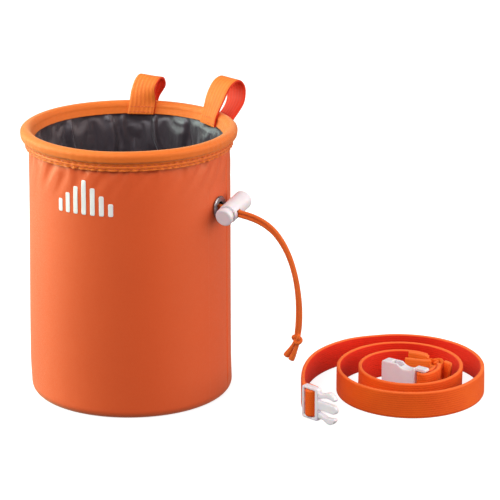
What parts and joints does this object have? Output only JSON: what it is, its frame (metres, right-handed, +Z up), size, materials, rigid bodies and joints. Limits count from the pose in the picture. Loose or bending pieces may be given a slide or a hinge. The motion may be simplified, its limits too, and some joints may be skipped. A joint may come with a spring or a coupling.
{
  "type": "chalk bag with waist belt",
  "caption": "Cylindrical fabric chalk bag with a stiff rolled rim, grey lining, drawcord and cord lock, two webbing loops, and a coiled waist belt with a side-release buckle.",
  "frame": {"origin": "centre of the bag's base, on the floor", "axes": "+Z up through the mouth, -Y the printed front, +Y the side with the two webbing loops, +X the side with the drawcord"},
  "size_m": [0.2296, 0.1949, 0.1681],
  "materials": {
    "shell": "coated nylon, satin",
    "shell_dark": "coated nylon, satin",
    "binding": "woven bias tape",
    "webbing": "woven polyester webbing",
    "thread": "sewing thread",
    "lining": "plain nylon lining",
    "fleece": "short-pile fleece",
    "cord": "braided cord",
    "print": "screen print",
    "white_plastic": "moulded acetal, satin",
    "eyelet_metal": "nickel plate",
    "spring_steel": "spring wire"
  },
  "bodies": {
    "bag": {"outer_shell": "shell", "side_seam": "shell_dark", "base_panel": "shell_dark", "rim_binding": "binding", "binding_stitches": "thread", "rim_stiffener": "white_plastic", "lining_skirt": "lining", "drawcord_casing": "lining", "fleece_wall": "fleece", "fleece_floor": "fleece", "printed_mark": "print", "loop_left": "webbing", "loop_right": "webbing", "loop_stitches": "thread", "eyelet": "eyelet_metal", "eyelet_washer": "eyelet_metal", "drawcord_ring": "cord", "drawcord_strand_a": "cord", "drawcord_strand_b": "cord", "drawcord_knot": "cord"},
    "cord_lock": {"cord_lock_body": "white_plastic", "cord_lock_spring": "spring_steel"},
    "lock_button": {"cord_lock_button": "white_plastic"},
    "belt": {"belt_webbing": "webbing", "belt_inner_strap": "webbing", "belt_knot": "webbing", "belt_end_back": "webbing", "belt_end_front": "webbing", "belt_end_side": "webbing"},
    "male_buckle": {"buckle_male_frame": "white_plastic", "male_wrap": "webbing"},
    "upper_prong": {"male_arm_upper": "white_plastic"},
    "lower_prong": {"male_arm_lower": "white_plastic"},
    "female_buckle": {"buckle_female": "white_plastic", "female_wrap": "webbing"}
  },
  "joints": [
    {"name": "cord_lock_slide", "type": "slide", "parent": "bag", "child": "cord_lock", "axis": [0.9751, 0.1719, -0.1402], "range_m": [0, 0.006]},
    {"name": "lock_button_press", "type": "slide", "parent": "cord_lock", "child": "lock_button", "axis": [-0.1382, 0.965, 0.2227], "range_m": [0, 0.0024], "stiffness_N_per_m": 800, "springref_m": -0.001},
    {"name": "belt_lift", "type": "slide", "parent": "bag", "child": "belt", "axis": [0, 0, 1], "range_m": [0, 0.08]},
    {"name": "male_buckle_swing", "type": "hinge", "parent": "belt", "child": "male_buckle", "pos_m": [0.10142, 0.02413, 0.0085], "axis": [0, 0, 1], "range_deg": [-35, 15], "stiffness_Nm_per_rad": 0.004},
    {"name": "upper_prong_flex", "type": "hinge", "parent": "male_buckle", "child": "upper_prong", "pos_m": [0.11772, 0.01788, 0.01485], "axis": [0.1305, 0.9914, 0], "range_deg": [0, 8], "stiffness_Nm_per_rad": 0.4},
    {"name": "lower_prong_flex", "type": "hinge", "parent": "male_buckle", "child": "lower_prong", "pos_m": [0.11772, 0.01788, 0.00365], "axis": [-0.1305, -0.9914, 0], "range_deg": [0, 8], "stiffness_Nm_per_rad": 0.4},
    {"name": "female_buckle_swing", "type": "hinge", "parent": "belt", "child": "female_buckle", "pos_m": [0.14458, 0.09191, 0.0095], "axis": [0, 0, 1], "range_deg": [-8, 8], "stiffness_Nm_per_rad": 0.004}
  ]
}
